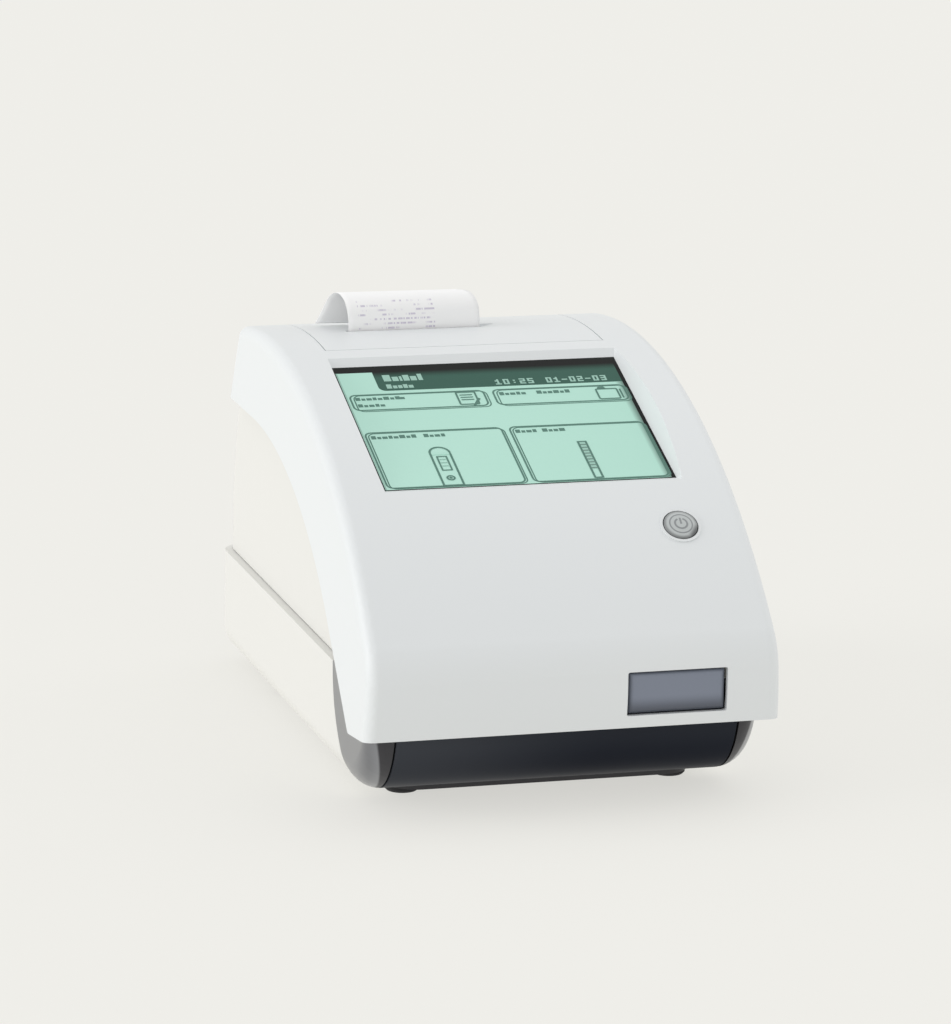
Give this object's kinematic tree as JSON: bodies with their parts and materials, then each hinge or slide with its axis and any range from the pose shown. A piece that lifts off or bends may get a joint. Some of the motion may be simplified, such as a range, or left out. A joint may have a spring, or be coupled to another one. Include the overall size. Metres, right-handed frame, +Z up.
{
  "type": "urine analyzer",
  "caption": "Desktop strip reader with a white arched cover, a sloping touch screen, a slip printer under a rear lid, a motor-driven sample table and a dark keel.",
  "frame": {"origin": "middle of the bottom of the bounding box, on the table top under the rubber feet", "axes": "+X to the right seen from the front, the front faces -Y, +Z up"},
  "size_m": [0.171, 0.272, 0.1729],
  "materials": {
    "cover_white": "satin",
    "body_grey": "fine texture",
    "base_slate": "satin",
    "face_slate": "satin",
    "grey_plastic": "moulded",
    "black_plastic": "moulded",
    "insert_white": "moulded",
    "rack_plastic": "moulded",
    "button_grey": "satin",
    "screen": "polished",
    "clear": "polished",
    "paper": "thermal paper",
    "rubber": "matte",
    "steel": "brushed",
    "aluminium": "machined",
    "brass": "machined",
    "circuit_board": "lacquered",
    "cell_jacket": "printed jacket"
  },
  "bodies": {
    "housing": {"top_cover": "cover_white", "cover_hinge_pins": "steel", "roll_cradle": "grey_plastic", "printer_frame": "steel", "feed_motor": "steel", "print_head": "aluminium", "touch_panel": "screen", "lcd_module": "steel", "display_bracket": "steel", "display_screws": "steel", "key_board": "circuit_board", "body_shell": "body_grey", "base_pan": "body_grey", "base_front_trim": "base_slate", "base_keel": "base_slate", "rubber_feet": "rubber", "base_screws": "steel", "table_guide": "grey_plastic", "table_motor": "steel", "guide_screws": "steel", "optics_housing": "black_plastic", "optics_window": "clear", "optics_board": "circuit_board", "main_board": "circuit_board", "power_inlet": "black_plastic", "serial_port": "steel", "battery_box": "black_plastic", "batteries": "cell_jacket", "battery_contacts": "steel", "battery_door_pin": "steel"},
    "table": {"test_table": "grey_plastic", "table_face": "face_slate", "table_rack": "rack_plastic", "table_insert": "insert_white", "calibration_bar": "insert_white"},
    "table_drive": {"table_pinion": "brass"},
    "lid": {"printer_cover": "cover_white", "paper_strip": "paper"},
    "platen": {"platen_roller": "rubber", "platen_gear": "grey_plastic"},
    "feed_drive": {"feed_pinion": "brass"},
    "roll": {"paper_roll": "paper", "roll_spindle": "grey_plastic"},
    "button": {"power_button": "button_grey"},
    "battery_hatch": {"battery_door": "body_grey"}
  },
  "joints": [
    {"name": "table_slide", "type": "slide", "parent": "housing", "child": "table", "axis": [0, -1, 0], "range_m": [0, 0.1]},
    {"name": "table_pinion_spin", "type": "hinge", "parent": "housing", "child": "table_drive", "pos_m": [0.0151, -0.076, 0.0465], "axis": [0, 0, -1], "range_deg": [0, 720]},
    {"name": "lid_hinge", "type": "hinge", "parent": "housing", "child": "lid", "pos_m": [0, 0.1, 0.14985], "axis": [-1, 0, 0], "range_deg": [0, 95]},
    {"name": "platen_spin", "type": "hinge", "parent": "housing", "child": "platen", "pos_m": [-0.0135, 0.0703, 0.141], "axis": [1, 0, 0], "continuous": true},
    {"name": "feed_pinion_spin", "type": "hinge", "parent": "housing", "child": "feed_drive", "pos_m": [-0.0475, 0.0703, 0.1296], "axis": [1, 0, 0], "continuous": true},
    {"name": "paper_roll_spin", "type": "hinge", "parent": "housing", "child": "roll", "pos_m": [-0.0135, 0.086, 0.1202], "axis": [1, 0, 0], "continuous": true},
    {"name": "power_button_press", "type": "slide", "parent": "housing", "child": "button", "axis": [0, 0.6106, -0.792], "range_m": [0, 0.0012], "stiffness_N_per_m": 600, "springref_m": -0.0005},
    {"name": "battery_door_hinge", "type": "hinge", "parent": "housing", "child": "battery_hatch", "pos_m": [0.04, 0.1338, 0.0174], "axis": [-1, 0, 0], "range_deg": [0, 90]}
  ],
  "couplings": [
    {"joint": "table_pinion_spin", "follows": "table_slide", "rad_per_m": 125},
    {"joint": "feed_pinion_spin", "follows": "platen_spin", "ratio": -1.7143}
  ]
}
